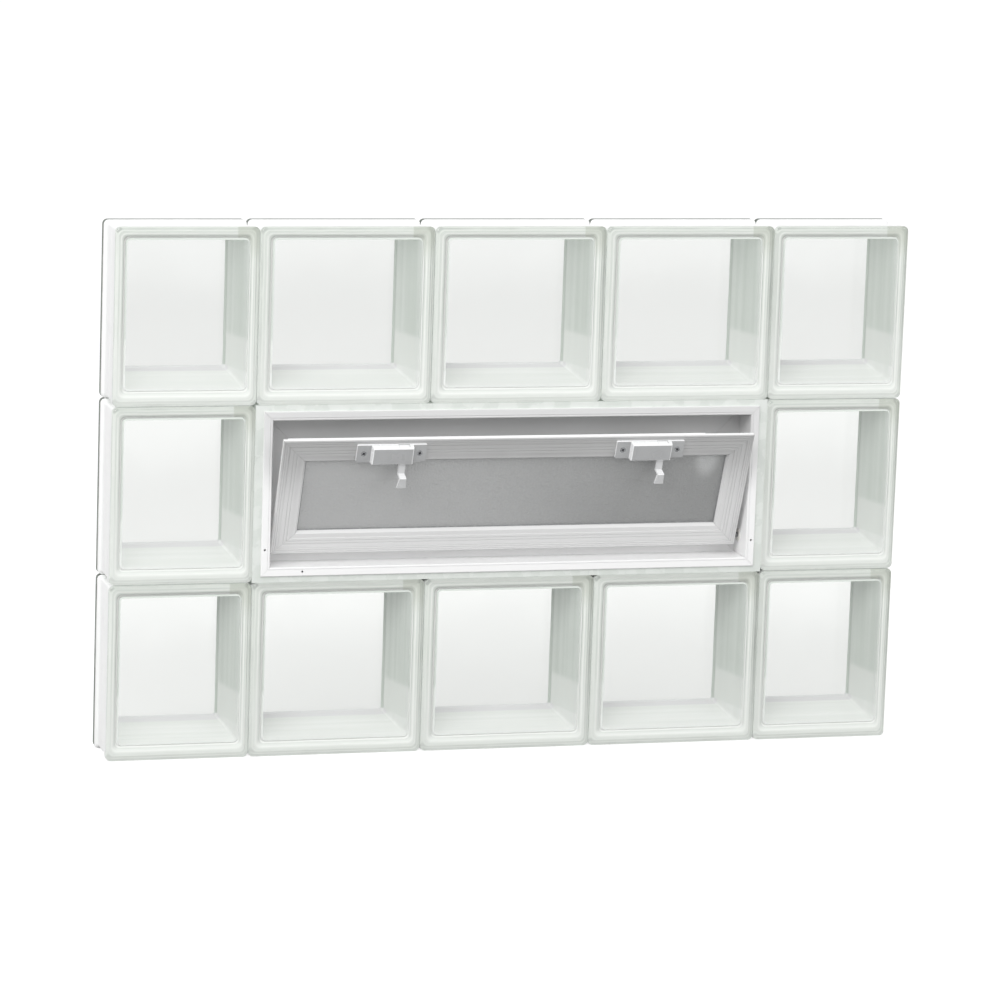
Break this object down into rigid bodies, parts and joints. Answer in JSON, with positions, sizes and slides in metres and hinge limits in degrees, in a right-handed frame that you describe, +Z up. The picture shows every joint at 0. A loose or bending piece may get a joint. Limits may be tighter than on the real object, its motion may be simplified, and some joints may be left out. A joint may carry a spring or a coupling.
{
  "type": "glass block window panel",
  "caption": "Frameless panel of hollow glass blocks sealed edge to edge around a white vent frame with a sash that tilts in at the top.",
  "frame": {"origin": "middle of the lower edge of the room-side face of the blocks", "axes": "+X to the right seen from the room, -Y into the room, +Z up"},
  "size_m": [0.911, 0.1165, 0.5905],
  "materials": {
    "block_glass": "clear pressed glass with a faint green tint",
    "silicone": "translucent silicone sealant",
    "white_vinyl": "white extruded vinyl with a low sheen",
    "white_latch": "white moulded plastic",
    "obscure_glass": "fine pebbled obscure glass",
    "gasket_rubber": "grey glazing rubber",
    "steel": "plated steel",
    "nylon": "natural nylon"
  },
  "bodies": {
    "panel": {"bed_sealant_lower": "silicone", "bed_sealant_upper": "silicone", "glass_block_bottom_1": "block_glass", "glass_block_bottom_2": "block_glass", "glass_block_bottom_3": "block_glass", "glass_block_bottom_4": "block_glass", "glass_block_bottom_5": "block_glass", "glass_block_middle_1": "block_glass", "glass_block_middle_5": "block_glass", "glass_block_top_1": "block_glass", "glass_block_top_2": "block_glass", "glass_block_top_3": "block_glass", "glass_block_top_4": "block_glass", "glass_block_top_5": "block_glass", "joint_sealant_bottom_row": "silicone", "joint_sealant_top_row": "silicone", "pivot_bush_left": "nylon", "pivot_bush_right": "nylon", "vent_frame_head": "white_vinyl", "vent_frame_jamb_left": "white_vinyl", "vent_frame_jamb_right": "white_vinyl", "vent_frame_sill": "white_vinyl", "vent_sealant_above": "silicone", "vent_sealant_below": "silicone", "vent_sealant_left": "silicone", "vent_sealant_right": "silicone"},
    "sash": {"glazing_beads_level": "white_vinyl", "glazing_beads_upright": "white_vinyl", "glazing_gasket": "gasket_rubber", "latch_bracket_left": "white_latch", "latch_bracket_right": "white_latch", "pivot_pin_left": "steel", "pivot_pin_right": "steel", "sash_obscure_pane": "obscure_glass", "sash_rail_bottom": "white_vinyl", "sash_rail_top": "white_vinyl", "sash_stile_left": "white_vinyl", "sash_stile_right": "white_vinyl"},
    "left_bolt": {"latch_bolt_left": "white_latch"},
    "right_bolt": {"latch_bolt_right": "white_latch"}
  },
  "joints": [
    {"name": "sash_tilt", "type": "hinge", "parent": "panel", "child": "sash", "pos_m": [0, 0.0277, 0.2347], "axis": [1, 0, 0], "range_deg": [-22, 13]},
    {"name": "left_bolt_slide", "type": "slide", "parent": "sash", "child": "left_bolt", "axis": [0, -0.3746, 0.9272], "range_m": [0, 0.0125]},
    {"name": "right_bolt_slide", "type": "slide", "parent": "sash", "child": "right_bolt", "axis": [0, -0.3746, 0.9272], "range_m": [0, 0.0125]}
  ]
}
